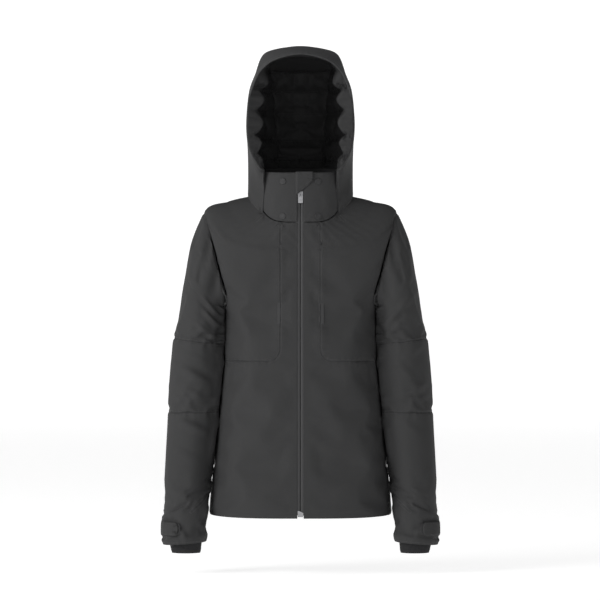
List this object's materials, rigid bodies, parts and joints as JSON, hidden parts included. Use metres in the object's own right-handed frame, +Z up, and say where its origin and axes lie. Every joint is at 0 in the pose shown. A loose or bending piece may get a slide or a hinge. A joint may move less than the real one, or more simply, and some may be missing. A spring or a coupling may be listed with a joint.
{
  "type": "ski jacket",
  "caption": "Insulated hooded ski jacket with a full-length front zip, chest pockets, shaped sleeves, adjustable cuffs and inner wrist gaiters.",
  "frame": {"origin": "top of the gap in the hang loop inside the back neck, where a hook carries the jacket", "axes": "+Z up towards the hood, -Y out of the front of the jacket, +X to the wearer's left"},
  "size_m": [0.5888, 0.2658, 1.064],
  "materials": {
    "shell": "matte coated plain weave",
    "lining": "smooth taffeta",
    "padding": "soft fibre wadding",
    "zip_tape": "woven tape",
    "zip_metal": "satin grey",
    "dark_trim": "matte",
    "stretch_cuff": "stretch jersey",
    "webbing": "woven webbing and hook tape"
  },
  "bodies": {
    "torso": {"front_strip_right": "shell", "front_strip_left": "shell", "chest_panel_right": "shell", "chest_panel_left": "shell", "front_lower_right": "shell", "front_lower_left": "shell", "side_panel_right": "shell", "side_panel_left": "shell", "back_lower": "shell", "back_yoke": "shell", "collar_outer": "shell", "collar_lining": "lining", "padding_front_right": "padding", "padding_front_left": "padding", "padding_back": "padding", "torso_lining": "lining", "powder_skirt": "lining", "hem_facing": "shell", "hang_loop": "webbing", "collar_snaps": "dark_trim", "zip_tape_right": "zip_tape", "zip_tape_left": "zip_tape", "zip_coil_right": "zip_tape", "zip_coil_left": "zip_tape", "zip_bottom_box": "zip_metal", "zip_garage": "shell", "zip_draft_flap": "lining", "chest_zip_right": "zip_tape", "chest_zip_left": "zip_tape", "pocket_bag_right": "lining", "pocket_bag_left": "lining", "sleeve_cap_right": "shell", "sleeve_cap_left": "shell"},
    "main_slider": {"zip_slider": "zip_metal"},
    "main_pull": {"zip_pull": "zip_metal"},
    "hood": {"hood_side_right": "shell", "hood_side_left": "shell", "hood_centre": "shell", "hood_brim": "shell", "hood_lining": "lining"},
    "chest_slider_right_body": {"chest_slider_right": "dark_trim"},
    "chest_pull_right_body": {"chest_pull_right": "dark_trim"},
    "upper_arm_right": {"upper_sleeve_right": "shell", "elbow_panel_right": "shell"},
    "lower_arm_right": {"forearm_right": "shell", "cuff_band_right": "shell", "cuff_patch_right": "webbing", "wrist_gaiter_right": "stretch_cuff"},
    "tab_right": {"cuff_tab_right": "webbing"},
    "chest_slider_left_body": {"chest_slider_left": "dark_trim"},
    "chest_pull_left_body": {"chest_pull_left": "dark_trim"},
    "upper_arm_left": {"upper_sleeve_left": "shell", "elbow_panel_left": "shell"},
    "lower_arm_left": {"forearm_left": "shell", "cuff_band_left": "shell", "cuff_patch_left": "webbing", "wrist_gaiter_left": "stretch_cuff"},
    "tab_left": {"cuff_tab_left": "webbing"}
  },
  "joints": [
    {"name": "main_zip_run", "type": "slide", "parent": "torso", "child": "main_slider", "axis": [0, -0.0712, -0.9975], "range_m": [0, 0.645]},
    {"name": "main_pull_swing", "type": "hinge", "parent": "main_slider", "child": "main_pull", "pos_m": [0, -0.13518, -0.00631], "axis": [-1, 0, 0], "range_deg": [0, 90]},
    {"name": "hood_fold", "type": "hinge", "parent": "torso", "child": "hood", "pos_m": [0, 0.028, -0.004], "axis": [-1, 0, 0], "range_deg": [0, 90]},
    {"name": "shoulder_lift_right", "type": "hinge", "parent": "torso", "child": "upper_arm_right", "pos_m": [-0.19, -0.054, -0.091], "axis": [0, 1, 0], "range_deg": [0, 80], "deforming": ["sleeve_cap_right"]},
    {"name": "elbow_bend_right", "type": "hinge", "parent": "upper_arm_right", "child": "lower_arm_right", "pos_m": [-0.2265, -0.06, -0.381], "axis": [-1, 0, 0], "range_deg": [0, 80], "deforming": ["elbow_panel_right"]},
    {"name": "cuff_tab_peel_right", "type": "hinge", "parent": "lower_arm_right", "child": "tab_right", "pos_m": [-0.2742, -0.0592, -0.704], "axis": [0, 0, -1], "range_deg": [0, 110]},
    {"name": "chest_zip_run_right", "type": "slide", "parent": "torso", "child": "chest_slider_right_body", "axis": [0, -0.0702, -0.9975], "range_m": [0, 0.185]},
    {"name": "chest_pull_swing_right", "type": "hinge", "parent": "chest_slider_right_body", "child": "chest_pull_right_body", "pos_m": [-0.04211, -0.1414, -0.10749], "axis": [-0.9976, 0.0698, 0], "range_deg": [0, 90]},
    {"name": "shoulder_lift_left", "type": "hinge", "parent": "torso", "child": "upper_arm_left", "pos_m": [0.19, -0.054, -0.091], "axis": [0, -1, 0], "range_deg": [0, 80], "deforming": ["sleeve_cap_left"]},
    {"name": "elbow_bend_left", "type": "hinge", "parent": "upper_arm_left", "child": "lower_arm_left", "pos_m": [0.2265, -0.06, -0.381], "axis": [-1, 0, 0], "range_deg": [0, 80], "deforming": ["elbow_panel_left"]},
    {"name": "cuff_tab_peel_left", "type": "hinge", "parent": "lower_arm_left", "child": "tab_left", "pos_m": [0.2742, -0.0592, -0.704], "axis": [0, 0, 1], "range_deg": [0, 110]},
    {"name": "chest_zip_run_left", "type": "slide", "parent": "torso", "child": "chest_slider_left_body", "axis": [0, -0.0702, -0.9975], "range_m": [0, 0.185]},
    {"name": "chest_pull_swing_left", "type": "hinge", "parent": "chest_slider_left_body", "child": "chest_pull_left_body", "pos_m": [0.04211, -0.1414, -0.10749], "axis": [-0.9976, -0.0698, 0], "range_deg": [0, 90]}
  ]
}
